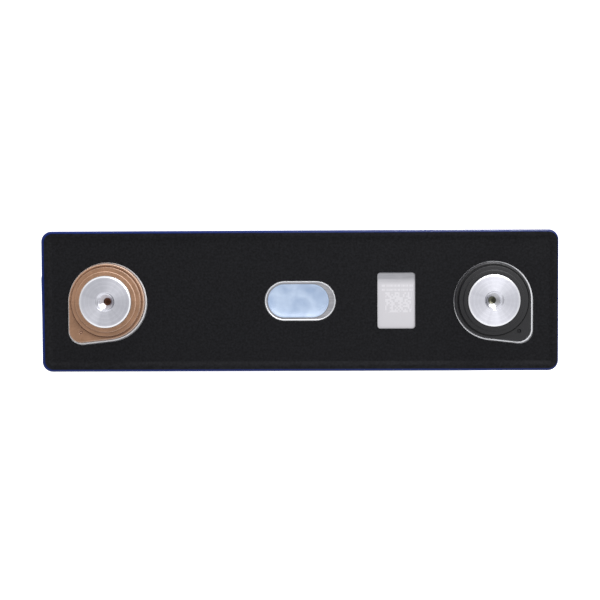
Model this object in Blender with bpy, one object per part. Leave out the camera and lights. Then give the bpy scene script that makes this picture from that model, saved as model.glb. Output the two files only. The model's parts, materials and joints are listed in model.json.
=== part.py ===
"""Prismatic lithium iron phosphate cell with threaded terminals, as an assembly of its separate pieces.

Frame: origin at the middle of the base, +Z up, the cell's length along X and its thickness along Y.
All sizes are in metres.
"""

import math

import bmesh
import bpy

# Overall size
CELL_LENGTH = 0.174
CELL_THICKNESS = 0.0475
CELL_HEIGHT = 0.170  # to the top of the terminal pads
PAD_STANDOUT = 0.003  # the pads stand this far above the raised border of the top film
CORNER_RADIUS = 0.0035
GAP = 0.0003  # clearance between pieces that touch on the real cell

# Films round the can
WRAP_THICKNESS = 0.0002
WRAP_SHOULDER_RADIUS = 0.0008
WRAP_LIP_WIDTH = 0.0018  # how far the wrap is turned in over the top edge
BASE_SHEET_THICKNESS = 0.0004
TOP_FILM_THICKNESS = 0.00025
TOP_FILM_MARGIN = 0.00065  # from the cell's outline to the film's edge
TOP_FILM_SHIFT = 0.0003  # the film is stuck on slightly towards the negative terminal
TOP_FILM_BORDER = 0.0024  # raised band that covers the wrap's lip
TOP_FILM_STEP = 0.0006  # width of the slope from the raised band to the flat middle

# Can and cover
CAN_WALL = 0.0008
CAN_FLOOR = 0.0015
CAN_BOTTOM_RADIUS = 0.0012
CAN_RIM_CHAMFER = 0.0004
COVER_THICKNESS = 0.003

# Terminals, measured from each terminal's own axis
TERMINAL_END_DISTANCE = 0.02215  # from the terminal axis to the cell's end
PAD_RADIUS = 0.00867
PAD_CHAMFER = 0.0004
NECK_GROOVE = 0.0015  # the neck is this much slimmer than the pad
FOOT_WIDTH = 0.0033  # the foot stands out this far from the neck
FOOT_THICKNESS = 0.002
BORE_CLEARANCE = 0.0005  # between the pad and the bore it is passed through
THREAD_RADIUS = 0.0025  # tapping hole of an M6 thread
THREAD_DEPTH = 0.006
THREAD_TIP = 0.0004
THREAD_FLOOR = 0.001  # least aluminium between the thread's tip and the copper stem
SINK_WIDTH = 0.0007  # countersink round the thread's mouth
STEM_WELD_HEIGHT = 0.00095  # weld plane between copper foot and aluminium pad, above the foot
SEAL_FLANGE_THICKNESS = 0.001  # at least: it fills the room between the foot and the cover

# Terminal mouldings
FLANGE_THICKNESS = 0.0012
RING_WIDTH = 0.0029  # raised ring round the pad
COLLAR_WIDTH = 0.00145  # taller collar inside the ring
RING_DROP = 0.0012  # ring's top below the pad's face
COLLAR_DROP = 0.0005
FLANGE_MARGIN = 0.00113  # flat flange outside the ring
FLANGE_CORNER_RADIUS = 0.00405
FLANGE_SLOPE = math.radians(6.5)  # tilt of the flange's lower edge
FLANGE_EDGE_CHAMFER = 0.0002
GATE_MARK_OFFSET = (0.00865, 0.0103)  # outwards and downwards from the terminal axis
GATE_MARK_RADIUS = 0.00075
GATE_MARK_DEPTH = 0.0004
FILM_CLEARANCE = 0.00065  # between a flange and the top film round it

# Vent
VENT_CENTRE_X = -0.0004
VENT_FILM_LENGTH = 0.0205
VENT_FILM_WIDTH = 0.0112
VENT_FILM_THICKNESS = 0.0002
VENT_WINDOW_END_MARGIN = 0.0018  # from the vent film to the window in the top film, at its round ends
VENT_WINDOW_SIDE_MARGIN = 0.0012  # and along its straight sides
VENT_SEAT_WIDTH = 0.0015  # ledge that carries the vent film and the burst disc
BURST_DISC_THICKNESS = 0.0005
BURST_SCORE_INSET = 0.002
BURST_SCORE_WIDTH = 0.0006
BURST_SCORE_DEPTH = 0.00025

# Code window in the top film
CODE_WINDOW_WIDTH = 0.0127
CODE_WINDOW_HEIGHT = 0.0188
CODE_WINDOW_RADIUS = 0.001
CODE_WINDOW_OFFSET = 0.0005  # from midway between vent window and terminal, outwards

# Filling port, between the vent and the positive terminal
FILL_HOLE_RADIUS = 0.0018
FILL_PLUG_HEIGHT = 0.0015
FILL_CAP_RADIUS = 0.0039
FILL_CAP_THICKNESS = 0.0007
FILL_CLEAR_RADIUS = 0.0025  # hole in the under plate below the port

# Pieces under the cover
UNDER_PLATE_THICKNESS = 0.0016
UNDER_PLATE_CLEARANCE = 0.0012  # to the can wall
FOOT_CLEARANCE = 0.0004
BOSS_WALL = 0.0015
GRID_SLOT_COUNT = 5
GRID_SLOT_WIDTH = 0.0016
GRID_BAR_WIDTH = 0.0014
COLLECTOR_LENGTH = 0.040
COLLECTOR_OVERHANG = 0.0125  # past the terminal axis, towards the cell's end
COLLECTOR_THICKNESS = 0.0015
COLLECTOR_SIDE_MARGIN = 0.005
TAB_THICKNESS = 0.0012
TAB_BEND_RADIUS = 0.002
TAB_SIDE_MARGIN = 0.002
TAB_CENTRE_MARGIN = 0.002
WELD_STRIP_THICKNESS = 0.0003
WELD_STRIP_MARGIN = 0.001

# Windings
SUPPORT_THICKNESS = 0.0012
SUPPORT_CLEARANCE = 0.001
SUPPORT_HOLE_RADIUS = 0.004
SUPPORT_HOLE_SPACING = 0.036
BAG_THICKNESS = 0.0002
BAG_CLEARANCE = 0.0004
BAG_TOP_DROP = 0.003  # bag's rim below the under plates
TAB_RISE = 0.0055  # height of the foil tabs between the windings and the bend
TAB_GATHER_HEIGHT = 0.004  # over which the tabs of all the turns come together
TAB_GATHER_MARGIN = 0.002  # from the winding's face to the outermost tab
WINDING_MID_GAP = 0.0005
WINDING_END_GAP = 0.0005
FOIL_THICKNESS = 0.0006
SEPARATOR_THICKNESS = 0.0002
FOIL_INSET = 0.001  # each foil is lower than the separators by this much
CORE_RADIUS = 0.0006  # smallest bend at the heart of a winding
TAPE_THICKNESS = 0.00015
TAPE_WIDTH = 0.030
TAPE_END_MARGIN = 0.012

# Mesh fineness
CORNER_STEPS = 5
PAD_STEPS = 44
SMALL_ROUND_STEPS = 24
ARC_STEPS = 16
WINDING_ARC_STEPS = 6
SMOOTH_ANGLE = math.radians(35)
LEVEL_FACE = 0.999  # a face whose normal is this upright is shaded flat

# Heights, from the base upwards
base_sheet_bottom = WRAP_THICKNESS + GAP
can_bottom = base_sheet_bottom + BASE_SHEET_THICKNESS + GAP
can_floor_top = can_bottom + CAN_FLOOR
support_bottom = can_floor_top + GAP
bag_bottom = support_bottom + SUPPORT_THICKNESS + GAP
winding_bottom = bag_bottom + BAG_THICKNESS + GAP

# Heights, from the top downwards
body_height = CELL_HEIGHT - PAD_STANDOUT
lip_top = body_height - TOP_FILM_THICKNESS - GAP
cover_top = lip_top - WRAP_THICKNESS - GAP
cover_bottom = cover_top - COVER_THICKNESS
film_bottom = cover_top + GAP
film_top = film_bottom + TOP_FILM_THICKNESS
flange_bottom = cover_top + GAP
flange_top = flange_bottom + FLANGE_THICKNESS
pad_bottom = flange_top + GAP
seal_flange_top = cover_bottom - GAP
thread_tip_z = CELL_HEIGHT - THREAD_DEPTH - THREAD_TIP
foot_top = min(
    seal_flange_top - SEAL_FLANGE_THICKNESS - GAP,
    thread_tip_z - THREAD_FLOOR - GAP - STEM_WELD_HEIGHT,
)
foot_bottom = foot_top - FOOT_THICKNESS
under_plate_top = cover_bottom - GAP
under_plate_bottom = under_plate_top - UNDER_PLATE_THICKNESS
collector_top = foot_bottom - GAP
collector_bottom = collector_top - COLLECTOR_THICKNESS
tab_top = collector_bottom - GAP
winding_top = tab_top - TAB_THICKNESS / 2 - TAB_BEND_RADIUS - TAB_RISE
bag_top = under_plate_bottom - BAG_TOP_DROP

# Outlines
can_inset = WRAP_THICKNESS + GAP
cavity_inset = can_inset + CAN_WALL
cavity_half_thickness = CELL_THICKNESS / 2 - cavity_inset
terminal_x = CELL_LENGTH / 2 - TERMINAL_END_DISTANCE
neck_radius = PAD_RADIUS - NECK_GROOVE
foot_radius = neck_radius + FOOT_WIDTH
bore_radius = PAD_RADIUS + BORE_CLEARANCE
ring_radius = PAD_RADIUS + RING_WIDTH
collar_radius = PAD_RADIUS + COLLAR_WIDTH
flange_radius = ring_radius + FLANGE_MARGIN
vent_window_length = VENT_FILM_LENGTH + 2 * VENT_WINDOW_END_MARGIN
vent_window_width = VENT_FILM_WIDTH + 2 * VENT_WINDOW_SIDE_MARGIN
vent_port_length = VENT_FILM_LENGTH - 2 * VENT_SEAT_WIDTH
vent_port_width = VENT_FILM_WIDTH - 2 * VENT_SEAT_WIDTH
cut_out_inner_x = terminal_x - flange_radius - FILM_CLEARANCE
code_window_x = (vent_window_length / 2 + cut_out_inner_x) / 2 + CODE_WINDOW_OFFSET
fill_x = -(vent_window_length / 2 + cut_out_inner_x) / 2
collector_half_width = cavity_half_thickness - COLLECTOR_SIDE_MARGIN
bag_inset = cavity_inset + BAG_CLEARANCE
bag_inner_half_length = CELL_LENGTH / 2 - bag_inset - BAG_THICKNESS
bag_inner_half_thickness = CELL_THICKNESS / 2 - bag_inset - BAG_THICKNESS
winding_room = bag_inner_half_thickness - WINDING_MID_GAP / 2 - 2 * GAP - TAPE_THICKNESS
winding_half_thickness = winding_room / 2
winding_y = WINDING_MID_GAP / 2 + winding_half_thickness


def clear_scene():
    for old in list(bpy.data.objects):
        bpy.data.objects.remove(old, do_unlink=True)


def material(name, colour, roughness, metallic=0.0):
    """A plain surface with the piece's own colour, roughness and metallic value."""
    made = bpy.data.materials.new(name)
    made.use_nodes = True
    shader = made.node_tree.nodes["Principled BSDF"]
    shader.inputs["Base Color"].default_value = (*colour, 1.0)
    shader.inputs["Roughness"].default_value = roughness
    shader.inputs["Metallic"].default_value = metallic
    made.diffuse_color = (*colour, 1.0)
    return made


def arc(centre_x, centre_y, radius, start, end, steps):
    """Points along an arc, both ends included. Angles are in degrees."""
    points = []
    for step in range(steps + 1):
        angle = math.radians(start + (end - start) * step / steps)
        points.append((centre_x + radius * math.cos(angle), centre_y + radius * math.sin(angle)))
    return points


def rounded_rectangle(length, width, radius, centre_x=0.0):
    """Outline function of a rounded rectangle: it gives the outline grown by an offset."""

    def outline(offset):
        corner = max(radius + offset, 0.0002)
        half_x = length / 2 + offset - corner
        half_y = width / 2 + offset - corner
        return (
            arc(centre_x + half_x, half_y, corner, 0, 90, CORNER_STEPS)
            + arc(centre_x - half_x, half_y, corner, 90, 180, CORNER_STEPS)
            + arc(centre_x - half_x, -half_y, corner, 180, 270, CORNER_STEPS)
            + arc(centre_x + half_x, -half_y, corner, 270, 360, CORNER_STEPS)
        )

    return outline


def stadium(length, width, centre_x=0.0):
    """Outline function of a slot with round ends, along X."""

    def outline(offset):
        half = (length - width) / 2
        radius = width / 2 + offset
        return arc(centre_x + half, 0, radius, -90, 90, ARC_STEPS // 2) + arc(
            centre_x - half, 0, radius, 90, 270, ARC_STEPS // 2
        )

    return outline


def teardrop(side, centre_x=0.0):
    """Outline function of a terminal flange: a circle drawn out to one rounded corner, on the cell's
    outer side (side is -1 or +1) and low in Y. Its outer edge is upright and its lower edge slopes."""

    def outline(offset):
        slope = math.degrees(FLANGE_SLOPE)
        reach = flange_radius - FLANGE_CORNER_RADIUS
        corner_y = -reach * (1 + math.sin(FLANGE_SLOPE)) / math.cos(FLANGE_SLOPE)
        round_part = arc(0, 0, flange_radius + offset, 180, slope - 90, 2 * ARC_STEPS)
        corner_part = arc(-reach, corner_y, FLANGE_CORNER_RADIUS + offset, slope - 90, -180, ARC_STEPS // 2)
        return [(centre_x - side * x, y) for x, y in round_part + corner_part]

    return outline


def circle(radius, steps, centre_x=0.0, centre_y=0.0):
    """Outline function of a circle."""

    def outline(offset):
        return arc(centre_x, centre_y, radius + offset, 0, 360, steps)[:-1]

    return outline


def finish_mesh(name, bm, look=None):
    """Turns a bmesh into a named object whose walls are shaded smooth between sharp edges and whose level
    faces are shaded flat. Without a look it is a hidden cutter."""
    bmesh.ops.remove_doubles(bm, verts=bm.verts, dist=1e-7)
    bmesh.ops.recalc_face_normals(bm, faces=bm.faces)
    for face in bm.faces:
        face.smooth = abs(face.normal.z) < LEVEL_FACE
    mesh = bpy.data.meshes.new(name)
    bm.to_mesh(mesh)
    bm.free()
    mesh.set_sharp_from_angle(angle=SMOOTH_ANGLE)
    made = bpy.data.objects.new(name, mesh)
    bpy.context.scene.collection.objects.link(made)
    if look:
        mesh.materials.append(look)
    else:
        made.hide_render = True
        made.display_type = "WIRE"
    return made


def lofted(name, outline, levels, look=None):
    """Closed solid whose skin runs through outline(offset) at each (offset, z) level in turn."""
    bm = bmesh.new()
    rings = []
    for offset, z in levels:
        rings.append([bm.verts.new((x, y, z)) for x, y in outline(offset)])
    for lower, upper in zip(rings, rings[1:]):
        for i in range(len(lower)):
            bm.faces.new((lower[i - 1], lower[i], upper[i], upper[i - 1]))
    bm.faces.new(reversed(rings[0]))
    bm.faces.new(rings[-1])
    return finish_mesh(name, bm, look)


def ring_between(name, outline, levels):
    """Closed ring that follows an outline, its section running through the given levels."""
    bm = bmesh.new()
    rings = []
    for offset, z in levels:
        rings.append([bm.verts.new((x, y, z)) for x, y in outline(offset)])
    for lower, upper in zip(rings, rings[1:] + rings[:1]):
        for i in range(len(lower)):
            bm.faces.new((lower[i - 1], lower[i], upper[i], upper[i - 1]))
    return finish_mesh(name, bm)


def turned(name, profile, look=None, steps=PAD_STEPS, centre_x=0.0):
    """Solid of revolution about a vertical axis at centre_x, from a closed profile of (radius, z)."""
    bm = bmesh.new()
    corners = [bm.verts.new((radius, 0, z)) for radius, z in profile]
    edges = [bm.edges.new((corners[i - 1], corners[i])) for i in range(len(corners))]
    edges = [edge for edge in edges if any(abs(corner.co.x) > 1e-9 for corner in edge.verts)]
    bmesh.ops.spin(
        bm, geom=corners + edges, cent=(0, 0, 0), axis=(0, 0, 1), angle=math.tau, steps=steps, use_merge=True
    )
    loose = [edge for edge in bm.edges if not edge.link_faces]
    bmesh.ops.delete(bm, geom=loose, context="EDGES")
    made = finish_mesh(name, bm, look)
    made.location.x = centre_x
    return made


def block(bm, low, high):
    """Adds a box between two corners to a bmesh."""
    made = bmesh.ops.create_cube(bm, size=1)["verts"]
    for corner in made:
        for axis in range(3):
            corner.co[axis] = high[axis] if corner.co[axis] > 0 else low[axis]


def boxes(name, corners, look=None):
    """One object of one or more separate boxes, each given by its low and high corner."""
    bm = bmesh.new()
    for low, high in corners:
        block(bm, low, high)
    return finish_mesh(name, bm, look)


def combine(target, other, operation):
    """Adds an exact Boolean to target. The other object is hidden from the build."""
    other.hide_render = True
    other.display_type = "WIRE"
    step = target.modifiers.new(other.name, "BOOLEAN")
    step.operation = operation
    step.object = other
    step.solver = "EXACT"


def cut(target, *cutters):
    for cutter in cutters:
        combine(target, cutter, "DIFFERENCE")


def group(name, centre_x, *members):
    """Parents pieces that are modelled round their own axis to an empty on that axis."""
    axis = bpy.data.objects.new(name, None)
    bpy.context.scene.collection.objects.link(axis)
    axis.location.x = centre_x
    for member in members:
        member.parent = axis


cell_outline = rounded_rectangle(CELL_LENGTH, CELL_THICKNESS, CORNER_RADIUS)


def make_can():
    """Deep-drawn case: outer skin with a rounded bottom edge, then the inner skin down to the floor."""
    radius = CAN_BOTTOM_RADIUS
    levels = []
    for step in range(CORNER_STEPS):
        angle = math.pi / 2 * step / (CORNER_STEPS - 1)
        inset = can_inset + radius * (1 - math.sin(angle))
        levels.append((-inset, can_bottom + radius * (1 - math.cos(angle))))
    levels += [
        (-can_inset, cover_top - CAN_RIM_CHAMFER),
        (-can_inset - CAN_RIM_CHAMFER, cover_top),
        (-cavity_inset, cover_top),
        (-cavity_inset, can_floor_top),
    ]
    lofted("can", cell_outline, levels, aluminium)


def make_wrap_film():
    """Film shell round the can, closed below, with a rounded shoulder and a lip turned in at the top."""
    radius = WRAP_SHOULDER_RADIUS
    inner = radius - WRAP_THICKNESS
    angles = [math.pi / 2 * step / (CORNER_STEPS - 1) for step in range(CORNER_STEPS)]
    levels = [(-radius * (1 - math.sin(a)), radius * (1 - math.cos(a))) for a in angles]
    levels += [(-radius * (1 - math.cos(a)), lip_top - radius * (1 - math.sin(a))) for a in angles]
    levels += [(-WRAP_LIP_WIDTH, lip_top), (-WRAP_LIP_WIDTH, lip_top - WRAP_THICKNESS)]
    for a in reversed(angles):
        levels.append((-radius + inner * math.cos(a), lip_top - radius + inner * math.sin(a)))
    for a in reversed(angles):
        levels.append((-radius + inner * math.sin(a), radius - inner * math.cos(a)))
    lofted("wrap_film", cell_outline, levels, blue_film)


def make_base_sheet():
    inset = can_inset + CAN_BOTTOM_RADIUS
    levels = [(-inset, base_sheet_bottom), (-inset, base_sheet_bottom + BASE_SHEET_THICKNESS)]
    lofted("base_sheet", cell_outline, levels, white_film)


def make_top_film():
    """Black sheet that lies on the cover and steps up over the wrap's lip, with its four cut-outs."""
    border = TOP_FILM_BORDER
    foot = border + TOP_FILM_STEP
    lean = TOP_FILM_THICKNESS / 4
    film_outline = rounded_rectangle(
        CELL_LENGTH - 2 * TOP_FILM_MARGIN,
        CELL_THICKNESS - 2 * TOP_FILM_MARGIN,
        CORNER_RADIUS - TOP_FILM_MARGIN,
        TOP_FILM_SHIFT,
    )
    levels = [
        (-foot, film_bottom),
        (-border, body_height - TOP_FILM_THICKNESS),
        (0, body_height - TOP_FILM_THICKNESS),
        (0, body_height),
        (-border - lean, body_height),
        (-foot - lean, film_top),
    ]
    film = lofted("top_film", film_outline, levels, black_film)
    through = [(0, cover_top), (0, body_height + GAP)]
    vent_window = stadium(vent_window_length, vent_window_width, TOP_FILM_SHIFT)
    code_window = rounded_rectangle(
        CODE_WINDOW_WIDTH, CODE_WINDOW_HEIGHT, CODE_WINDOW_RADIUS, code_window_x + TOP_FILM_SHIFT
    )
    cut(film, lofted("vent_window_cutter", vent_window, through))
    cut(film, lofted("code_window_cutter", code_window, through))
    for side, pole in ((-1, "positive"), (1, "negative")):
        outline = teardrop(side, side * terminal_x + TOP_FILM_SHIFT)
        levels = [(FILM_CLEARANCE, z) for _, z in through]
        cut(film, lofted(pole + "_cut_out_cutter", outline, levels))


def make_cover_plate():
    """Lid in the can's mouth, with two terminal bores, the stepped vent port and the filling port."""
    edge = -cavity_inset - GAP
    cover = lofted("cover_plate", cell_outline, [(edge, cover_bottom), (edge, cover_top)], aluminium)
    for side, pole in ((-1, "positive"), (1, "negative")):
        bore = circle(bore_radius, PAD_STEPS, side * terminal_x)
        levels = [(0, cover_bottom - GAP), (0, cover_top + GAP)]
        cut(cover, lofted(pole + "_bore_cutter", bore, levels))
    film_seat = cover_top - VENT_FILM_THICKNESS - GAP
    disc_seat = cover_bottom + BURST_DISC_THICKNESS + GAP
    vent_levels = [
        (GAP, cover_bottom - GAP),
        (GAP, disc_seat),
        (-VENT_SEAT_WIDTH, disc_seat),
        (-VENT_SEAT_WIDTH, film_seat),
        (GAP, film_seat),
        (GAP, cover_top + GAP),
    ]
    vent_outline = stadium(VENT_FILM_LENGTH, VENT_FILM_WIDTH, VENT_CENTRE_X)
    cut(cover, lofted("vent_port_cutter", vent_outline, vent_levels))
    cap_seat = cover_top - FILL_CAP_THICKNESS - GAP
    cap_bore = FILL_CAP_RADIUS + GAP - FILL_HOLE_RADIUS
    fill_levels = [
        (0, cover_bottom - GAP),
        (0, cap_seat),
        (cap_bore, cap_seat),
        (cap_bore, cover_top + GAP),
    ]
    fill_outline = circle(FILL_HOLE_RADIUS, SMALL_ROUND_STEPS, fill_x)
    cut(cover, lofted("fill_port_cutter", fill_outline, fill_levels))


def make_vent():
    """Burst disc with a scored groove, below the port, and the thin film that covers the port."""
    outline = stadium(VENT_FILM_LENGTH, VENT_FILM_WIDTH, VENT_CENTRE_X)
    disc_top = cover_bottom + BURST_DISC_THICKNESS
    disc = lofted("vent_disc", outline, [(0, cover_bottom), (0, disc_top)], aluminium)
    groove_bottom = disc_top - BURST_SCORE_DEPTH
    outer = -BURST_SCORE_INSET
    inner = outer - BURST_SCORE_WIDTH
    groove_levels = [
        (inner, disc_top + GAP),
        (inner, groove_bottom),
        (outer, groove_bottom),
        (outer, disc_top + GAP),
    ]
    groove = ring_between("vent_score_cutter", outline, groove_levels)
    cut(disc, groove)
    film_levels = [(0, cover_top - VENT_FILM_THICKNESS), (0, cover_top)]
    lofted("vent_film", outline, film_levels, pale_film)


def make_filling_port():
    """Rubber plug in the hole and the aluminium cap that is welded over it."""
    cap_bottom = cover_top - FILL_CAP_THICKNESS
    plug_radius = FILL_HOLE_RADIUS - GAP
    plug_top = cap_bottom - 2 * GAP
    plug = [
        (0, plug_top),
        (0, plug_top - FILL_PLUG_HEIGHT),
        (plug_radius / 2, plug_top - FILL_PLUG_HEIGHT),
        (plug_radius, plug_top - FILL_PLUG_HEIGHT * 2 / 3),
        (plug_radius, plug_top),
    ]
    turned("fill_plug", plug, rubber, SMALL_ROUND_STEPS, fill_x)
    cap = [
        (0, cover_top),
        (0, cap_bottom),
        (FILL_CAP_RADIUS, cap_bottom),
        (FILL_CAP_RADIUS, cover_top),
    ]
    turned("fill_cap", cap, aluminium, SMALL_ROUND_STEPS, fill_x)


def foot_profile():
    """Foot and the start of the neck, from the axis outwards."""
    return [
        (0, foot_bottom),
        (foot_radius, foot_bottom),
        (foot_radius, foot_top),
        (neck_radius, foot_top),
    ]


def pad_profile():
    """Pad with its chamfered rim, countersink and blind threaded hole, down to the hole's tip."""
    return [
        (neck_radius, pad_bottom),
        (PAD_RADIUS, pad_bottom),
        (PAD_RADIUS, CELL_HEIGHT - PAD_CHAMFER),
        (PAD_RADIUS - PAD_CHAMFER, CELL_HEIGHT),
        (THREAD_RADIUS + SINK_WIDTH, CELL_HEIGHT),
        (THREAD_RADIUS, CELL_HEIGHT - SINK_WIDTH),
        (THREAD_RADIUS, CELL_HEIGHT - THREAD_DEPTH),
        (0, thread_tip_z),
    ]


def make_top_insulator(pole, side, look):
    """Moulding round the pad: teardrop flange, raised ring, taller collar, web under the pad."""
    chamfer = FLANGE_EDGE_CHAMFER
    flange_levels = [(0, flange_bottom), (0, flange_top - chamfer), (-chamfer, flange_top)]
    insulator = lofted(pole + "_top_insulator", teardrop(side), flange_levels, look)
    ring_top = CELL_HEIGHT - RING_DROP
    collar_top = CELL_HEIGHT - COLLAR_DROP
    root = flange_bottom + FLANGE_THICKNESS / 2
    ring = [
        (0, root),
        (ring_radius, root),
        (ring_radius, ring_top - chamfer),
        (ring_radius - chamfer, ring_top),
        (collar_radius, ring_top),
        (collar_radius, collar_top - chamfer),
        (collar_radius - chamfer, collar_top),
        (0, collar_top),
    ]
    ring_solid = turned(pole + "_ring_solid", ring)
    combine(insulator, ring_solid, "UNION")
    bore = [
        (0, flange_bottom - GAP),
        (neck_radius + GAP, flange_bottom - GAP),
        (neck_radius + GAP, flange_top),
        (PAD_RADIUS + GAP, flange_top),
        (PAD_RADIUS + GAP, CELL_HEIGHT),
        (0, CELL_HEIGHT),
    ]
    bore_cutter = turned(pole + "_moulding_bore_cutter", bore)
    cut(insulator, bore_cutter)
    mark_x, mark_y = GATE_MARK_OFFSET
    mark_outline = circle(GATE_MARK_RADIUS, SMALL_ROUND_STEPS // 2, side * mark_x, -mark_y)
    mark_levels = [(0, flange_top - GATE_MARK_DEPTH), (0, flange_top + GAP)]
    gate_mark = lofted(pole + "_gate_mark_cutter", mark_outline, mark_levels)
    cut(insulator, gate_mark)
    return [insulator, ring_solid, bore_cutter, gate_mark]


def make_seal(pole):
    """Rubber bush: a sleeve round the neck and a flange that the foot presses on the cover."""
    inner = neck_radius + GAP
    sleeve = bore_radius - GAP
    seal = [
        (inner, foot_top + GAP),
        (foot_radius, foot_top + GAP),
        (foot_radius, seal_flange_top),
        (sleeve, seal_flange_top),
        (sleeve, cover_top),
        (inner, cover_top),
    ]
    return turned(pole + "_seal", seal, rubber, SMALL_ROUND_STEPS)


def make_positive_terminal():
    """One aluminium block from foot to pad."""
    terminal = turned("positive_terminal", foot_profile() + pad_profile(), aluminium)
    moulding = make_top_insulator("positive", -1, brown_plastic)
    group("positive_axis", -terminal_x, terminal, make_seal("positive"), *moulding)


def make_negative_terminal():
    """Aluminium pad on a copper stem, split at their weld plane."""
    weld = foot_top + STEM_WELD_HEIGHT
    stem = turned("negative_stem", foot_profile() + [(neck_radius, weld), (0, weld)], copper)
    neck_start = [(0, weld + GAP), (neck_radius, weld + GAP)]
    terminal = turned("negative_terminal", neck_start + pad_profile(), aluminium)
    moulding = make_top_insulator("negative", 1, black_plastic)
    group("negative_axis", terminal_x, stem, terminal, make_seal("negative"), *moulding)


def make_under_plates():
    """Two plastic plates below the cover. The positive one reaches past the vent and carries its grid."""
    end = CELL_LENGTH / 2 - cavity_inset - UNDER_PLATE_CLEARANCE
    half_width = cavity_half_thickness - UNDER_PLATE_CLEARANCE
    split = VENT_FILM_LENGTH / 2 + BOSS_WALL
    spans = {"positive": (-end, split), "negative": (split + GAP, end)}
    for side, pole in ((-1, "positive"), (1, "negative")):
        low_x, high_x = spans[pole]
        low = (low_x, -half_width, under_plate_bottom)
        high = (high_x, half_width, under_plate_top)
        plate = boxes(pole + "_under_plate", [(low, high)], milky_plastic)
        foot_bore = foot_radius + FOOT_CLEARANCE
        boss_top = under_plate_top - UNDER_PLATE_THICKNESS / 2
        boss_outline = circle(foot_bore + BOSS_WALL, PAD_STEPS, side * terminal_x)
        boss_levels = [(0, foot_bottom), (0, boss_top)]
        combine(plate, lofted(pole + "_boss_solid", boss_outline, boss_levels), "UNION")
        bore_outline = circle(foot_bore, PAD_STEPS, side * terminal_x)
        bore_levels = [(0, foot_bottom - GAP), (0, under_plate_top + GAP)]
        cut(plate, lofted(pole + "_foot_cutter", bore_outline, bore_levels))
        if pole == "positive":
            cut(plate, grid_cutter(), fill_clear_cutter())


def grid_cutter():
    """Row of slots that lets gas through to the vent."""
    pitch = GRID_SLOT_WIDTH + GRID_BAR_WIDTH
    slots = []
    for index in range(GRID_SLOT_COUNT):
        middle = VENT_CENTRE_X + (index - (GRID_SLOT_COUNT - 1) / 2) * pitch
        low = (middle - GRID_SLOT_WIDTH / 2, -vent_port_width / 2, under_plate_bottom - GAP)
        high = (middle + GRID_SLOT_WIDTH / 2, vent_port_width / 2, under_plate_top + GAP)
        slots.append((low, high))
    return boxes("vent_grid_cutter", slots)


def fill_clear_cutter():
    outline = circle(FILL_CLEAR_RADIUS, SMALL_ROUND_STEPS, fill_x)
    levels = [(0, under_plate_bottom - GAP), (0, under_plate_top + GAP)]
    return lofted("fill_clear_cutter", outline, levels)


def make_connections(pole, side, look):
    """Collector plate, the two bent bundles of foil tabs welded under it, and their weld strips."""
    outer_x = terminal_x + COLLECTOR_OVERHANG
    inner_x = outer_x - COLLECTOR_LENGTH
    low_x, high_x = sorted((side * outer_x, side * inner_x))
    low = (low_x, -collector_half_width, collector_bottom)
    high = (high_x, collector_half_width, collector_top)
    boxes(pole + "_collector", [(low, high)], look)
    for roll, face in (("front", -1), ("rear", 1)):
        make_tab(f"{pole}_{roll}_tab", face, low_x + TAB_SIDE_MARGIN, high_x - TAB_SIDE_MARGIN, look)
        strip_low_y, strip_high_y = sorted(
            (
                face * (TAB_CENTRE_MARGIN + WELD_STRIP_MARGIN),
                face * (winding_y - TAB_BEND_RADIUS - WELD_STRIP_MARGIN),
            )
        )
        strip_top = tab_top - TAB_THICKNESS - GAP
        low = (low_x + TAB_SIDE_MARGIN + WELD_STRIP_MARGIN, strip_low_y, strip_top - WELD_STRIP_THICKNESS)
        high = (high_x - TAB_SIDE_MARGIN - WELD_STRIP_MARGIN, strip_high_y, strip_top)
        boxes(f"{pole}_{roll}_weld_strip", [(low, high)], look)


def make_tab(name, face, low_x, high_x, look):
    """Bundle of foil tabs: it gathers from all the turns of a winding and bends in under the collector."""
    half = TAB_THICKNESS / 2
    bend_y = winding_y - TAB_BEND_RADIUS
    bend_z = tab_top - half - TAB_BEND_RADIUS
    outer = arc(bend_y, bend_z, TAB_BEND_RADIUS + half, 0, 90, CORNER_STEPS)
    inner = arc(bend_y, bend_z, TAB_BEND_RADIUS - half, 90, 0, CORNER_STEPS)
    spread = winding_half_thickness - TAB_GATHER_MARGIN
    low_z = winding_top + GAP
    neck_z = low_z + TAB_GATHER_HEIGHT
    section = [(winding_y + spread, low_z), (winding_y + half, neck_z)] + outer
    section += [(TAB_CENTRE_MARGIN, tab_top), (TAB_CENTRE_MARGIN, tab_top - TAB_THICKNESS)] + inner
    section += [(winding_y - half, neck_z), (winding_y - spread, low_z)]
    bm = bmesh.new()
    profile = bm.faces.new([bm.verts.new((low_x, face * y, z)) for y, z in section])
    pushed = bmesh.ops.extrude_face_region(bm, geom=[profile])["geom"]
    corners = [item for item in pushed if isinstance(item, bmesh.types.BMVert)]
    bmesh.ops.translate(bm, verts=corners, vec=(high_x - low_x, 0, 0))
    finish_mesh(name, bm, look)


def make_support_plate():
    edge = -cavity_inset - SUPPORT_CLEARANCE
    top = support_bottom + SUPPORT_THICKNESS
    plate = lofted("support_plate", cell_outline, [(edge, support_bottom), (edge, top)], milky_plastic)
    for number, place in enumerate((-1.5, -0.5, 0.5, 1.5)):
        outline = circle(SUPPORT_HOLE_RADIUS, SMALL_ROUND_STEPS, place * SUPPORT_HOLE_SPACING)
        levels = [(0, support_bottom - GAP), (0, top + GAP)]
        cut(plate, lofted(f"support_hole_cutter_{number}", outline, levels))


def make_roll_bag():
    """Film bag round both windings, open at the top."""
    inner = -bag_inset - BAG_THICKNESS
    levels = [
        (-bag_inset, bag_bottom),
        (-bag_inset, bag_top),
        (inner, bag_top),
        (inner, bag_bottom + BAG_THICKNESS),
    ]
    lofted("roll_bag", cell_outline, levels, clear_film)


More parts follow.
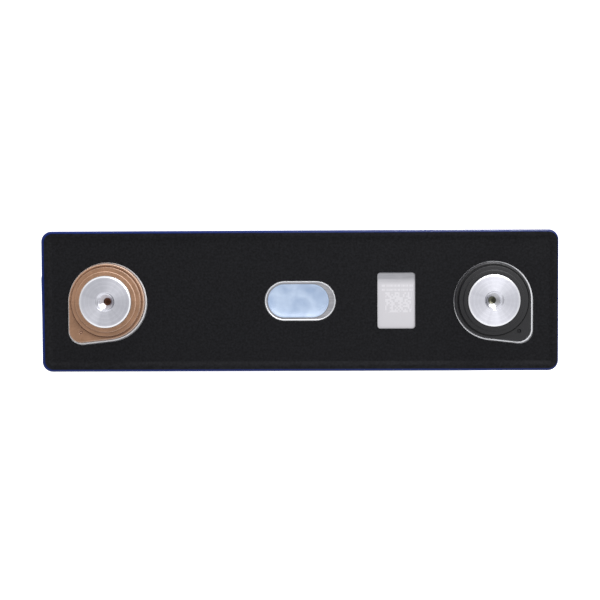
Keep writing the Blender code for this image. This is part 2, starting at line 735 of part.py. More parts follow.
def wound_strip(name, face, layer_offset, thickness, inset, first, last, look):
    """Strip wound flat round two round ends. Each half turn is wider than the last by half the pitch,
    and the two ends' centres are a quarter pitch up and down, so that the turns join smoothly.
    The front winding (face is -1) is the rear one turned half round."""
    pitch = 2 * (FOIL_THICKNESS + SEPARATOR_THICKNESS) + 4 * GAP
    outer_layer = 2 * SEPARATOR_THICKNESS + FOIL_THICKNESS + 2 * GAP
    widest = winding_half_thickness - outer_layer
    half_turns = 1 + int((widest - CORE_RADIUS) / (pitch / 2))
    core = widest - (half_turns - 1) * pitch / 2
    end_x = bag_inner_half_length - WINDING_END_GAP - winding_half_thickness
    drift = pitch / 4 if half_turns % 2 == 0 else -pitch / 4
    low_z = winding_bottom + inset
    high_z = winding_top - inset
    bm = bmesh.new()
    stations = []
    for half_turn in range(first, half_turns - last):
        side = 1 if half_turn % 2 == 0 else -1
        inner = core + half_turn * pitch / 2 + layer_offset
        middle = (side * end_x, winding_y + drift + side * pitch / 4)
        start = -90 if side > 0 else 90
        inner_points = arc(*middle, inner, start, start + 180, WINDING_ARC_STEPS)
        outer_points = arc(*middle, inner + thickness, start, start + 180, WINDING_ARC_STEPS)
        for (inner_x, inner_y), (outer_x, outer_y) in zip(inner_points, outer_points):
            stations.append(
                [
                    bm.verts.new((face * inner_x, face * inner_y, low_z)),
                    bm.verts.new((face * outer_x, face * outer_y, low_z)),
                    bm.verts.new((face * outer_x, face * outer_y, high_z)),
                    bm.verts.new((face * inner_x, face * inner_y, high_z)),
                ]
            )
    for before, after in zip(stations, stations[1:]):
        for i in range(4):
            bm.faces.new((before[i - 1], before[i], after[i], after[i - 1]))
    bm.faces.new(stations[0])
    bm.faces.new(reversed(stations[-1]))
    return finish_mesh(name, bm, look)


def make_winding(roll, face):
    """Separator, anode, separator and cathode wound together, and the tape that closes the roll."""
    anode_offset = SEPARATOR_THICKNESS + GAP
    outer_offset = anode_offset + FOIL_THICKNESS + GAP
    cathode_offset = outer_offset + SEPARATOR_THICKNESS + GAP
    wound_strip(roll + "_inner_separator", face, 0, SEPARATOR_THICKNESS, 0, 0, 0, white_film)
    wound_strip(roll + "_anode", face, anode_offset, FOIL_THICKNESS, FOIL_INSET, 0, 0, graphite)
    wound_strip(roll + "_outer_separator", face, outer_offset, SEPARATOR_THICKNESS, 0, 0, 0, white_film)
    wound_strip(roll + "_cathode", face, cathode_offset, FOIL_THICKNESS, 2 * FOIL_INSET, 0, 2, phosphate)
    tape_y = face * (winding_y + winding_half_thickness + GAP)
    low_y, high_y = sorted((tape_y, tape_y + face * TAPE_THICKNESS))
    low = (-TAPE_WIDTH / 2, low_y, winding_bottom + TAPE_END_MARGIN)
    high = (TAPE_WIDTH / 2, high_y, winding_top - TAPE_END_MARGIN)
    boxes(roll + "_roll_tape", [(low, high)], green_tape)


clear_scene()

aluminium = material("aluminium", (0.60, 0.60, 0.62), 0.30, 1.0)
copper = material("copper", (0.80, 0.42, 0.28), 0.35, 1.0)
blue_film = material("blue PET film", (0.010, 0.035, 0.22), 0.25)
black_film = material("black film", (0.012, 0.012, 0.014), 0.60)
pale_film = material("pale blue film", (0.50, 0.62, 0.80), 0.30)
white_film = material("white film", (0.80, 0.80, 0.78), 0.55)
clear_film = material("milky film", (0.72, 0.76, 0.78), 0.40)
brown_plastic = material("brown plastic", (0.40, 0.24, 0.17), 0.50)
black_plastic = material("black plastic", (0.030, 0.029, 0.034), 0.45)
milky_plastic = material("milky plastic", (0.70, 0.69, 0.64), 0.50)
rubber = material("seal rubber", (0.020, 0.020, 0.020), 0.70)
graphite = material("graphite coating", (0.040, 0.040, 0.043), 0.80)
phosphate = material("phosphate coating", (0.070, 0.070, 0.080), 0.75)
green_tape = material("green tape", (0.050, 0.300, 0.140), 0.45)

make_can()
make_wrap_film()
make_base_sheet()
make_top_film()
make_cover_plate()
make_vent()
make_filling_port()
make_positive_terminal()
make_negative_terminal()
make_under_plates()
make_connections("positive", -1, aluminium)
make_connections("negative", 1, copper)
make_support_plate()
make_roll_bag()
make_winding("front", -1)
make_winding("rear", 1)
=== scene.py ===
import json
import math

import bmesh
import bpy
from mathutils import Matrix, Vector


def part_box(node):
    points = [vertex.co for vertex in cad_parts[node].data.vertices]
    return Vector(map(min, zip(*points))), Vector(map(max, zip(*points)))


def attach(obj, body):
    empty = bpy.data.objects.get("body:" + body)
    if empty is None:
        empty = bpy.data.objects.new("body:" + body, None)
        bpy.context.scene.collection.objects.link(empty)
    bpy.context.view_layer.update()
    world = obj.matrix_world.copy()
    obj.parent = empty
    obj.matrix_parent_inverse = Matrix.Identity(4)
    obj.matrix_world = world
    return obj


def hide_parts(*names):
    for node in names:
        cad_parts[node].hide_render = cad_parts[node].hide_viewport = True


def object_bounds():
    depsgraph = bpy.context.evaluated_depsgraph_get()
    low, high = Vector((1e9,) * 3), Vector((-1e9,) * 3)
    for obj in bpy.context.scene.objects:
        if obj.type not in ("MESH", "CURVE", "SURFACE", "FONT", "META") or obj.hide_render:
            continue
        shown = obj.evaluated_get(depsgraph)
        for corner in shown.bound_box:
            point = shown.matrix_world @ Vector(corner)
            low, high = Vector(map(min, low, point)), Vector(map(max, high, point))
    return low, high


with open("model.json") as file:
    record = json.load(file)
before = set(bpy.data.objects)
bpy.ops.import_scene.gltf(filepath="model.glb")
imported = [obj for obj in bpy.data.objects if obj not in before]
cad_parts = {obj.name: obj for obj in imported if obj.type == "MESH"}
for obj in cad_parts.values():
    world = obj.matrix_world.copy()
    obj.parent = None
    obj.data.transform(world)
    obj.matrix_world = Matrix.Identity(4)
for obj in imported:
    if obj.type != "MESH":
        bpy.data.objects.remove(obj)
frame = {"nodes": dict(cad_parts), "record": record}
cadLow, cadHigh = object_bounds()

mm = 0.001
hair = 1e-6  # metres: two heights closer than this are the same
print("frame loaded:", len(frame["nodes"]), "nodes")


def makeActive(piece):
    bpy.ops.object.select_all(action="DESELECT")
    piece.select_set(True)
    bpy.context.view_layer.objects.active = piece


def nameNew(name):
    piece = bpy.context.view_layer.objects.active
    piece.name = name
    piece.data.name = name
    bpy.ops.object.transform_apply(location=True, rotation=True, scale=True)
    return piece


def addBlock(name, low, high):
    bpy.ops.object.select_all(action="DESELECT")
    low, high = Vector(low), Vector(high)
    bpy.ops.mesh.primitive_cube_add(size=1, location=(low + high) / 2, scale=high - low)
    return nameNew(name)


def addDisc(name, centre, radius, lowZ, highZ, sides=128):
    bpy.ops.object.select_all(action="DESELECT")
    middle = (centre[0], centre[1], (lowZ + highZ) / 2)
    bpy.ops.mesh.primitive_cylinder_add(vertices=sides, radius=radius, depth=highZ - lowZ, location=middle)
    return nameNew(name)


def joinPieces(name, pieces):
    makeActive(pieces[0])
    for piece in pieces[1:]:
        piece.select_set(True)
    bpy.ops.object.join()
    pieces[0].name = name
    return pieces[0]


def editOn(piece):
    makeActive(piece)
    bpy.ops.object.mode_set(mode="EDIT")
    bpy.ops.mesh.select_all(action="DESELECT")


def editOff():
    bpy.ops.object.mode_set(mode="OBJECT")


def pick(kind, test):
    # selects the vertices, edges or faces that pass a test on their place or normal
    bpy.ops.mesh.select_mode(type=kind)
    bpy.ops.mesh.select_all(action="DESELECT")
    mesh = bpy.context.edit_object.data
    shape = bmesh.from_edit_mesh(mesh)
    items = {"VERT": shape.verts, "EDGE": shape.edges, "FACE": shape.faces}[kind]
    for item in items:
        if test(item):
            item.select_set(True)
    bmesh.update_edit_mesh(mesh)


def isUpright(edge):
    first, second = edge.verts
    return abs(first.co.z - second.co.z) > 0.5 * edge.calc_length()


def liesAt(edge, height):
    return all(abs(corner.co.z - height) < hair for corner in edge.verts)


def addHull(name, discs, lowZ, highZ, sides=128):
    # the tight outline round several upright discs, each given as (x, y, radius)
    made = [addDisc(name, (x, y), radius, lowZ, highZ, sides) for x, y, radius in discs]
    hull = joinPieces(name, made)
    editOn(hull)
    bpy.ops.mesh.select_all(action="SELECT")
    bpy.ops.mesh.convex_hull()
    bpy.ops.mesh.dissolve_limited(angle_limit=math.radians(0.5))
    editOff()
    return hull


def turnOnLathe(name, centre, stations, sides=128):
    # a disc whose top face is extruded, widened and raised through (radius, height) stations
    radius, height = stations[1]
    piece = addDisc(name, centre, stations[0][0], stations[0][1], height, sides)
    editOn(piece)
    pick("FACE", lambda face: face.normal.z > 0.99)
    for nextRadius, nextHeight in stations[2:]:
        bpy.ops.mesh.extrude_region_move()
        if nextRadius != radius:
            factor = nextRadius / radius
            middle = (centre[0], centre[1], height)
            bpy.ops.transform.resize(value=(factor, factor, 1), center_override=middle)
        if nextHeight != height:
            bpy.ops.transform.translate(value=(0, 0, nextHeight - height))
        radius, height = nextRadius, nextHeight
    editOff()
    return piece


def applyModifier(piece, kind, **settings):
    makeActive(piece)
    step = piece.modifiers.new(kind.lower(), kind)
    for key, value in settings.items():
        setattr(step, key, value)
    bpy.ops.object.modifier_apply(modifier=step.name)


def cutWith(piece, cutter, operation="DIFFERENCE"):
    applyModifier(piece, "BOOLEAN", operation=operation, object=cutter, solver="EXACT")
    bpy.data.objects.remove(cutter, do_unlink=True)


def settle(piece, look, slot, *nodes, angle=30):
    # a finished piece gets its shading and its look, and the CAD nodes that it stands for are hidden
    makeActive(piece)
    bpy.ops.object.shade_smooth_by_angle(angle=math.radians(angle))
    applyModifier(piece, "WEIGHTED_NORMAL", keep_sharp=True)  # wide faces stay flat beside rounded edges
    piece.data.materials.clear()
    piece.data.materials.append(look)
    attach(piece, "root")
    if nodes:
        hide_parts(*nodes)
    print("made", piece.name, len(piece.data.polygons), "faces")
    return piece


def hexColour(code):
    values = [int(code[i:i + 2], 16) / 255 for i in (1, 3, 5)]
    linear = [v / 12.92 if v <= 0.04045 else ((v + 0.055) / 1.055) ** 2.4 for v in values]
    return (*linear, 1.0)


def addNode(tree, kind, links=None, values=None, give=0, **settings):
    # one node with its settings, its fixed values and the sockets that feed it
    node = tree.nodes.new(kind)
    for key, value in settings.items():
        setattr(node, key, value)
    for key, value in (values or {}).items():
        node.inputs[key].default_value = hexColour(value) if isinstance(value, str) else value
    for key, socket in (links or {}).items():
        tree.links.new(socket, node.inputs[key])
    return node.outputs[give] if node.outputs else node


def startLook(name, values):
    # a new material: its tree, its shader and Object coordinates in millimetres
    look = bpy.data.materials.new(name)
    look.use_nodes = True
    tree = look.node_tree
    tree.nodes.clear()
    shader = tree.nodes.new("ShaderNodeBsdfPrincipled")
    for key, value in values.items():
        shader.inputs[key].default_value = hexColour(value) if isinstance(value, str) else value
    addNode(tree, "ShaderNodeOutputMaterial", {"Surface": shader.outputs["BSDF"]})
    place = addNode(tree, "ShaderNodeTexCoord", give="Object")
    place = addNode(tree, "ShaderNodeMapping", {"Vector": place}, {"Scale": (1000, 1000, 1000)})
    return look, tree, shader, place


mix = "ShaderNodeMix"
noise = "ShaderNodeTexNoise"
maths = "ShaderNodeMath"
remap = "ShaderNodeMapRange"  # its inputs are value, from low, from high, to low, to high
mapping = "ShaderNodeMapping"
bump = "ShaderNodeBump"
separate = "ShaderNodeSeparateXYZ"
combine = "ShaderNodeCombineXYZ"
vectorMaths = "ShaderNodeVectorMath"


# Polyester film, calendered glossy and shrunk tight: soft waves bend its reflections, handling leaves scuffs
def makeBluePetFilm():
    look, tree, shader, place = startLook("bluePetFilm", {"IOR": 1.5, "Specular IOR Level": 0.3})
    blotch = addNode(tree, noise, {0: place}, {"Scale": 1 / 28, "Detail": 3})
    colour = addNode(tree, mix, {0: blotch}, {6: "#071b56", 7: "#0a2569"}, give=2, data_type="RGBA")
    doubledFrom = 0.07  # millimetres past the wall: there one end of the film lies on the other
    endwards = addNode(tree, separate, {0: place})
    doubled = addNode(tree, maths, {0: endwards}, {1: cadLow.x / mm - doubledFrom}, operation="LESS_THAN")
    colour = addNode(tree, mix, {0: doubled, 6: colour}, {7: "#06164a"}, give=2, data_type="RGBA")
    tree.links.new(colour, shader.inputs["Base Color"])
    drawn = addNode(tree, mapping, {0: place}, {"Scale": (0.3, 0.3, 0.02)})
    scuffs = addNode(tree, noise, {0: drawn}, {"Scale": 1.4, "Detail": 6})
    scuffs = addNode(tree, remap, {0: scuffs}, {1: 0.45, 2: 0.8, 3: 0.14, 4: 0.3})
    tree.links.new(scuffs, shader.inputs["Roughness"])
    waves = addNode(tree, noise, {0: place}, {"Scale": 1 / 16, "Detail": 2})
    wavy = addNode(tree, bump, {"Height": waves}, {"Distance": 0.25 * mm, "Strength": 1})
    dimples = addNode(tree, noise, {0: place}, {"Scale": 1 / 1.2, "Detail": 2})
    skin = addNode(tree, bump, {"Height": dimples, "Normal": wavy}, {"Distance": 0.006 * mm, "Strength": 1})
    tree.links.new(skin, shader.inputs["Normal"])
    return look


# Polycarbonate film, embossed on its face: a fine dark grain with almost no gleam
def makeBlackGrainFilm():
    look, tree, shader, place = startLook("blackGrainFilm", {"IOR": 1.45, "Specular IOR Level": 0.15})
    # the emboss is about 0.2 mm wide, and its colour is drawn at 0.7 mm so that it shows
    grain = addNode(tree, noise, {0: place}, {"Scale": 1 / 0.7, "Detail": 5, "Roughness": 0.65})
    grit = addNode(tree, remap, {0: grain}, {1: 0.36, 2: 0.64, 3: 0, 4: 1})
    colour = addNode(tree, mix, {0: grit}, {6: "#070709", 7: "#18181b"}, give=2, data_type="RGBA")
    tree.links.new(colour, shader.inputs["Base Color"])
    blotch = addNode(tree, noise, {0: place}, {"Scale": 1 / 7, "Detail": 4})
    rough = addNode(tree, remap, {0: blotch}, {1: 0.3, 2: 0.7, 3: 0.56, 4: 0.68})
    tree.links.new(rough, shader.inputs["Roughness"])
    fine = addNode(tree, noise, {0: place}, {"Scale": 1 / 0.22, "Detail": 3})
    normal = addNode(tree, bump, {"Height": fine}, {"Distance": 0.02 * mm, "Strength": 1})
    tree.links.new(normal, shader.inputs["Normal"])
    return look


terminalSizes = {
    "chamfer": 0.5 * mm, "chamferFall": 0.2 * mm, "neckTop": 2.25 * mm, "footThickness": 2.0 * mm,
    "boreRadius": 2.5 * mm, "sinkRadius": 3.2 * mm, "depth": 4.2 * mm, "ledge": 0.45 * mm,
    "pilotRadius": 1.3 * mm, "pilotDepth": 1.4 * mm, "tip": 0.25 * mm, "tipRadius": 0.3 * mm,
    "rimSoft": (0.05 * mm, 0.08 * mm), "faceSoft": (0.04 * mm, 0.02 * mm), "sinkSoft": (0.05 * mm, 0.03 * mm),
    "threadPitch": 1.0 * mm, "threadRadius": 3.0 * mm, "threadTurns": 3, "threadStart": 3.7 * mm,
    "threadRoot": 0.86, "threadCrest": 0.16, "threadOverlap": 0.15 * mm,  # widths as shares of pitch and of root
    "shadeFrom": 3.6 * mm, "shadeTo": 5.6 * mm,  # depths over which the hole's colour turns to a painted shade
    "sliver": 0.002 * mm,  # what is thinner is merged away
}


# Aluminium faced on a lathe: fine rings round the axis draw each light out into a bright ray
def makeTurnedAluminium(name, axisX, holeShadeColour):
    look, tree, shader, place = startLook(name, {"Metallic": 1.0, "Anisotropic": 0.5})
    centred = addNode(tree, mapping, {0: place}, {"Location": (-axisX / mm, 0, 0)})
    parts = addNode(tree, separate, {0: centred}).node.outputs
    flat = addNode(tree, combine, {0: parts[0], 1: parts[1]})
    radius = addNode(tree, vectorMaths, {0: flat}, give=1, operation="LENGTH")
    lathe = addNode(tree, combine, {0: radius})
    # the tool's feed is about 0.15 mm a turn, and its rings are drawn at twice that so that they show
    rings = addNode(tree, noise, {0: lathe}, {"Scale": 1 / 0.3, "Detail": 3, "Roughness": 0.6})
    sector = addNode(tree, vectorMaths, {0: flat}, operation="NORMALIZE")
    tree.links.new(sector, shader.inputs["Tangent"])  # the gleam spreads across the rings
    rays = addNode(tree, noise, {0: sector}, {"Scale": 2.2, "Detail": 4})
    shade = addNode(tree, maths, {0: rings, 1: rays}, operation="ADD")
    shade = addNode(tree, remap, {0: shade}, {1: 0.7, 2: 1.3, 3: 0, 4: 1})
    colour = addNode(tree, mix, {0: shade}, {6: "#cfcfd6", 7: "#e9e9f0"}, give=2, data_type="RGBA")
    # deep in the tapped hole the colour is mixed by depth towards a dark painted shade
    shadeFrom, shadeTo = ((padTop - terminalSizes[key]) / mm for key in ("shadeFrom", "shadeTo"))
    sunk = addNode(tree, remap, {0: parts[2]}, {1: shadeTo, 2: shadeFrom, 3: 1, 4: 0})
    colour = addNode(tree, mix, {0: sunk, 6: colour}, {7: holeShadeColour}, give=2, data_type="RGBA")
    rough = addNode(tree, remap, {0: rings}, {1: 0.3, 2: 0.7, 3: 0.36, 4: 0.5})
    sunkRadius = terminalSizes["sinkRadius"] / mm
    tapped = addNode(tree, remap, {0: radius}, {1: sunkRadius, 2: sunkRadius + 0.1, 3: 1, 4: 0})
    rough = addNode(tree, mix, {0: tapped, 2: rough}, {3: 0.16})  # tap and countersink leave a brighter cut
    rimRadius = (padRadius - terminalSizes["chamfer"]) / mm
    rimBurnishAndHighlight = addNode(tree, remap, {0: radius}, {1: rimRadius - 0.08, 2: rimRadius, 3: 0, 4: 1})
    # the chamfer is burnished, so its roughness is lower; its colour is lightened as well, a painted highlight
    rough = addNode(tree, mix, {0: rimBurnishAndHighlight, 2: rough}, {3: 0.28})
    colour = addNode(tree, mix, {0: rimBurnishAndHighlight, 6: colour}, {7: "#f8f8fb"}, give=2, data_type="RGBA")
    tree.links.new(colour, shader.inputs["Base Color"])
    tree.links.new(rough, shader.inputs["Roughness"])
    normal = addNode(tree, bump, {"Height": rings}, {"Distance": 0.004 * mm, "Strength": 1})
    tree.links.new(normal, shader.inputs["Normal"])
    return look


# Aluminium sheet with a rolled satin face; the code field on the cover is frosted by a laser, which pales it
def makeRolledAluminium(codeCentre=None):
    name = "laserMarkedAluminium" if codeCentre else "rolledAluminium"
    look, tree, shader, place = startLook(name, {"Metallic": 1.0})
    drawn = addNode(tree, mapping, {0: place}, {"Scale": (1 / 18, 1 / 0.35, 1 / 0.35)})
    lines = addNode(tree, noise, {0: drawn}, {"Scale": 1, "Detail": 4, "Roughness": 0.6})
    stain = addNode(tree, noise, {0: place}, {"Scale": 1 / 9, "Detail": 3})
    tone = addNode(tree, maths, {0: lines, 1: stain}, operation="ADD")
    tone = addNode(tree, remap, {0: tone}, {1: 0.7, 2: 1.3, 3: 0, 4: 1})
    colour = addNode(tree, mix, {0: tone}, {6: "#adacb1", 7: "#c8c8cb"}, give=2, data_type="RGBA")
    rough = addNode(tree, remap, {0: lines}, {1: 0.3, 2: 0.7, 3: 0.3, 4: 0.42})
    normal = addNode(tree, bump, {"Height": lines}, {"Distance": 0.006 * mm, "Strength": 1})
    if codeCentre:
        # the ribs stand proud; their tops are painted lighter by height, a painted highlight, and made rougher
        crestFrom, crestTo = coverTop / mm + 0.03, coverTop / mm + 0.12
        upwards = addNode(tree, separate, {0: place}, give=2)
        crestHighlight = addNode(tree, remap, {0: upwards}, {1: crestFrom, 2: crestTo, 3: 0, 4: 1})
        colour = addNode(tree, mix, {0: crestHighlight, 6: colour}, {7: "#ececee"}, give=2, data_type="RGBA")
        rough = addNode(tree, mix, {0: crestHighlight, 2: rough}, {3: 0.5})
        frost, marks = addLaserField(tree, place, codeCentre)
        colour = addNode(tree, mix, {0: frost, 6: colour}, {7: "#d2d0d3"}, give=2, data_type="RGBA")
        colour = addNode(tree, mix, {0: marks, 6: colour}, {7: "#eeecef"}, give=2, data_type="RGBA")
        rough = addNode(tree, mix, {0: frost, 2: rough}, {3: 0.55})
    tree.links.new(colour, shader.inputs["Base Color"])
    tree.links.new(rough, shader.inputs["Roughness"])
    tree.links.new(normal, shader.inputs["Normal"])
    return look


laserFieldSizes = {  # millimetres, from the middle of the code window
    "frostTop": 5.5, "frostFade": 2.2, "reach": 8,
    "dashRows": (5.0, 3.6), "dashHalfHeight": 0.35, "dashPitch": 1.1, "dashMiddle": 0.3, "dashHalfLength": 5.2,
    "codeMiddle": (0.7, -0.6), "codeHalfSize": (4.4, 3.4), "cell": 0.55,
    "cellLevel": 0.52, "dashLevel": 0.47, "paleness": 0.38,  # noise above a level is marked
}


def addLaserField(tree, place, centre):
    # gives a frosted area, and inside it unreadable marks: two dashed rows and a random pattern of cells
    sizes = laserFieldSizes
    moved = addNode(tree, mapping, {0: place}, {"Location": (-centre[0] / mm, -centre[1] / mm, 0)})
    across, upwards = addNode(tree, separate, {0: moved}).node.outputs[:2]
    frostTop = sizes["frostTop"]
    frost = addNode(tree, remap, {0: upwards}, {1: frostTop, 2: frostTop + sizes["frostFade"], 3: 1, 4: 0})
    nearWindow = addNode(tree, maths, {0: across}, {1: 0, 2: sizes["reach"]}, operation="COMPARE")
    frost = addNode(tree, maths, {0: frost, 1: nearWindow}, operation="MULTIPLY")
    cells = addNode(tree, vectorMaths, {0: moved}, {1: (sizes["cell"],) * 3}, operation="SNAP")
    chance = addNode(tree, "ShaderNodeTexWhiteNoise", {0: cells}, noise_dimensions="2D")
    filled = addNode(tree, maths, {0: chance}, {1: sizes["cellLevel"]}, operation="GREATER_THAN")
    middle, half = sizes["codeMiddle"], sizes["codeHalfSize"]
    insideX = addNode(tree, maths, {0: across}, {1: middle[0], 2: half[0]}, operation="COMPARE")
    insideY = addNode(tree, maths, {0: upwards}, {1: middle[1], 2: half[1]}, operation="COMPARE")
    marks = addNode(tree, maths, {0: filled, 1: insideX}, operation="MULTIPLY")
    marks = addNode(tree, maths, {0: marks, 1: insideY}, operation="MULTIPLY")
    dashCells = addNode(tree, mapping, {0: moved}, {"Scale": (1 / sizes["dashPitch"], 0, 0)})
    dashes = addNode(tree, noise, {0: dashCells}, {"Scale": 1.7, "Detail": 1})
    dashes = addNode(tree, maths, {0: dashes}, {1: sizes["dashLevel"]}, operation="GREATER_THAN")
    ends = {1: sizes["dashMiddle"], 2: sizes["dashHalfLength"]}
    insideRow = addNode(tree, maths, {0: across}, ends, operation="COMPARE")
    dashes = addNode(tree, maths, {0: dashes, 1: insideRow}, operation="MULTIPLY")
    for row in sizes["dashRows"]:
        level = addNode(tree, maths, {0: upwards}, {1: row, 2: sizes["dashHalfHeight"]}, operation="COMPARE")
        level = addNode(tree, maths, {0: level, 1: dashes}, operation="MULTIPLY")
        marks = addNode(tree, maths, {0: marks, 1: level}, operation="MAXIMUM")
    marks = addNode(tree, maths, {0: marks}, {1: sizes["paleness"]}, operation="MULTIPLY")
    return frost, marks


# Polyester moulding with a spark-eroded skin: satin, with faint flow blotches and a painted sheen on its edges
def makeMouldedPlastic(name, dark, light, edge, roughness):
    look, tree, shader, place = startLook(name, {"IOR": 1.54})
    flow = addNode(tree, noise, {0: place}, {"Scale": 1 / 5, "Detail": 4, "Distortion": 0.6})
    fine = addNode(tree, noise, {0: place}, {"Scale": 1 / 0.35, "Detail": 3})  # grit at three times its size
    both = addNode(tree, mix, {2: flow, 3: fine}, {0: 0.35})
    both = addNode(tree, remap, {0: both}, {1: 0.35, 2: 0.65, 3: 0, 4: 1})
    colour = addNode(tree, mix, {0: both}, {6: dark, 7: light}, give=2, data_type="RGBA")
    # rounded edges, where the faces turn from straight up, are painted paler: a painted sheen
    facing = addNode(tree, "ShaderNodeNewGeometry", give="Normal")
    facing = addNode(tree, separate, {0: facing}, give=2)
    edgeSheen = addNode(tree, remap, {0: facing}, {1: 0.98, 2: 0.7, 3: 0, 4: 1})
    colour = addNode(tree, mix, {0: edgeSheen, 6: colour}, {7: edge}, give=2, data_type="RGBA")
    # the mould's part line runs through both terminal axes
    lineHalfWidth, lineDepth = 0.13, 0.45
    partLine = addNode(tree, separate, {0: place}, give=1)
    partLine = addNode(tree, maths, {0: partLine}, {1: 0, 2: lineHalfWidth}, operation="COMPARE")
    partLine = addNode(tree, maths, {0: partLine}, {1: lineDepth}, operation="MULTIPLY")
    colour = addNode(tree, mix, {0: partLine, 6: colour}, {7: dark}, give=2, data_type="RGBA")
    tree.links.new(colour, shader.inputs["Base Color"])
    smoothest, roughest = roughness - 0.06, roughness + 0.08
    rough = addNode(tree, remap, {0: fine}, {1: 0.3, 2: 0.7, 3: smoothest, 4: roughest})
    tree.links.new(rough, shader.inputs["Roughness"])
    normal = addNode(tree, bump, {"Height": fine}, {"Distance": 0.012 * mm, "Strength": 1})
    tree.links.new(normal, shader.inputs["Normal"])
    return look


# Blown polypropylene film over the vent: pale blue, milky and slightly crinkled, so it gleams in soft folds
def makePaleVentFilm():
    values = {"IOR": 1.49, "Coat Weight": 0.3, "Coat Roughness": 0.1}
    look, tree, shader, place = startLook("paleVentFilm", values)
    cloud = addNode(tree, noise, {0: place}, {"Scale": 1 / 6.5, "Detail": 2, "Distortion": 0.3})
    cloud = addNode(tree, remap, {0: cloud}, {1: 0.35, 2: 0.65, 3: 0, 4: 1})
    colour = addNode(tree, mix, {0: cloud}, {6: "#97aac6", 7: "#b7c7dd"}, give=2, data_type="RGBA")
    tree.links.new(colour, shader.inputs["Base Color"])
    rough = addNode(tree, remap, {0: cloud}, {1: 0, 2: 1, 3: 0.28, 4: 0.4})
    tree.links.new(rough, shader.inputs["Roughness"])
    crinkle = {"Scale": 1 / 2.6, "Detail": 5, "Roughness": 0.45, "Distortion": 0.8}
    folds = addNode(tree, noise, {0: place}, crinkle)
    normal = addNode(tree, bump, {"Height": folds}, {"Distance": 0.07 * mm, "Strength": 1})
    tree.links.new(normal, shader.inputs["Normal"])
    return look


# What lies inside the can: rolled foils, coated electrodes, films and rubber, each with its own grain
def makeInnerLook(name, dark, light, roughness, metallic, grain):
    look, tree, shader, place = startLook(name, {"Metallic": metallic})
    drawn = addNode(tree, mapping, {0: place}, {"Scale": tuple(1 / size for size in grain)})
    weave = addNode(tree, noise, {0: drawn}, {"Scale": 1, "Detail": 4})
    blotch = addNode(tree, noise, {0: place}, {"Scale": 1 / 12, "Detail": 3})
    both = addNode(tree, mix, {2: blotch, 3: weave}, {0: 0.5})
    both = addNode(tree, remap, {0: both}, {1: 0.35, 2: 0.65, 3: 0, 4: 1})
    colour = addNode(tree, mix, {0: both}, {6: dark, 7: light}, give=2, data_type="RGBA")
    tree.links.new(colour, shader.inputs["Base Color"])
    rough = addNode(tree, remap, {0: weave}, {1: 0.3, 2: 0.7, 3: roughness * 0.85, 4: roughness * 1.15})
    tree.links.new(rough, shader.inputs["Roughness"])
    normal = addNode(tree, bump, {"Height": weave}, {"Distance": 0.01 * mm, "Strength": 1})
    tree.links.new(normal, shader.inputs["Normal"])
    return look


# where the CAD nodes lie
padLow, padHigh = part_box("negative_terminal")  # this node is only the pad and its neck
padRadius = (padHigh.x - padLow.x) / 2
padTop = padHigh.z
negativeX = (padLow.x + padHigh.x) / 2
footLow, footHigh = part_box("positive_terminal")  # this one has its foot as well
positiveX = (footLow.x + footHigh.x) / 2
filmLow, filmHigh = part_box("top_film")
filmShift = (filmLow.x + filmHigh.x) / 2
ventLow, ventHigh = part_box("vent_film")
ventLength, ventWidth = ventHigh.x - ventLow.x, ventHigh.y - ventLow.y
ventX = (ventLow.x + ventHigh.x) / 2
coverLow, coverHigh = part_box("cover_plate")
coverTop = coverHigh.z
ringLow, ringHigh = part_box("negative_top_insulator")
flangeRadius = ringHigh.y
capLow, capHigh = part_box("fill_cap")
fillX = (capLow.x + capHigh.x) / 2
windowOffset = 0.5 * mm
windowX = filmShift - fillX + windowOffset  # the code window nearly mirrors the fill port

bluePetFilm = makeBluePetFilm()
blackGrainFilm = makeBlackGrainFilm()
# each last colour is the dark painted shade deep in the tapped hole
positiveAluminium = makeTurnedAluminium("turnedAluminiumPositive", positiveX, "#5e4032")
negativeAluminium = makeTurnedAluminium("turnedAluminiumNegative", negativeX, "#605f52")
# each third colour is the painted sheen on the rounded edges
brownPlastic = makeMouldedPlastic("brownPolyester", "#7f5e45", "#997358", "#cfae98", 0.4)
blackPlastic = makeMouldedPlastic("blackPolyester", "#070609", "#0c0b0f", "#1f1e23", 0.4)
paleVentFilm = makePaleVentFilm()

nodeLooks = {
    "can_aluminium": makeRolledAluminium(),
    "turned_aluminium": positiveAluminium,
    "foil_aluminium": makeInnerLook("aluminiumFoil", "#b9b9bd", "#dcdce0", 0.25, 1.0, (12, 0.3, 12)),
    "copper": makeInnerLook("copperFoil", "#b06a45", "#d98f63", 0.32, 1.0, (12, 0.3, 12)),
    "blue_film": bluePetFilm,
    "black_film": blackGrainFilm,
    "vent_film": paleVentFilm,
    "white_film": makeInnerLook("whiteSeparatorFilm", "#dcdcd6", "#efefea", 0.55, 0.0, (0.5, 0.5, 6)),
    "clear_film": makeInnerLook("milkyPolypropyleneFilm", "#c3cbcf", "#dde3e6", 0.35, 0.0, (6, 6, 2)),
    "brown_plastic": brownPlastic,
    "black_plastic": blackPlastic,
    "milky_plastic": makeInnerLook("naturalPolypropylene", "#c4c2b6", "#dbd9cf", 0.48, 0.0, (0.6, 0.6, 0.6)),
    "seal_rubber": makeInnerLook("fluoroRubber", "#0e0e0e", "#1c1c1b", 0.7, 0.0, (0.4, 0.4, 0.4)),
    "graphite_coating": makeInnerLook("graphiteCoating", "#26262a", "#343438", 0.8, 0.0, (0.5, 0.5, 3)),
    "phosphate_coating": makeInnerLook("phosphateCoating", "#3a3a40", "#4a4a50", 0.75, 0.0, (0.5, 0.5, 3)),
    "green_tape": makeInnerLook("greenPolyesterTape", "#1c7a45", "#2a9359", 0.35, 0.0, (3, 3, 0.4)),
}
for row in frame["record"]["subparts"]:
    node = frame["nodes"][row["node"]]
    for place in node.material_slots:
        place.material = nodeLooks[row["material_slot"]]
laserMarkedAluminium = makeRolledAluminium((windowX, 0))
print("looks made and given to the CAD nodes")


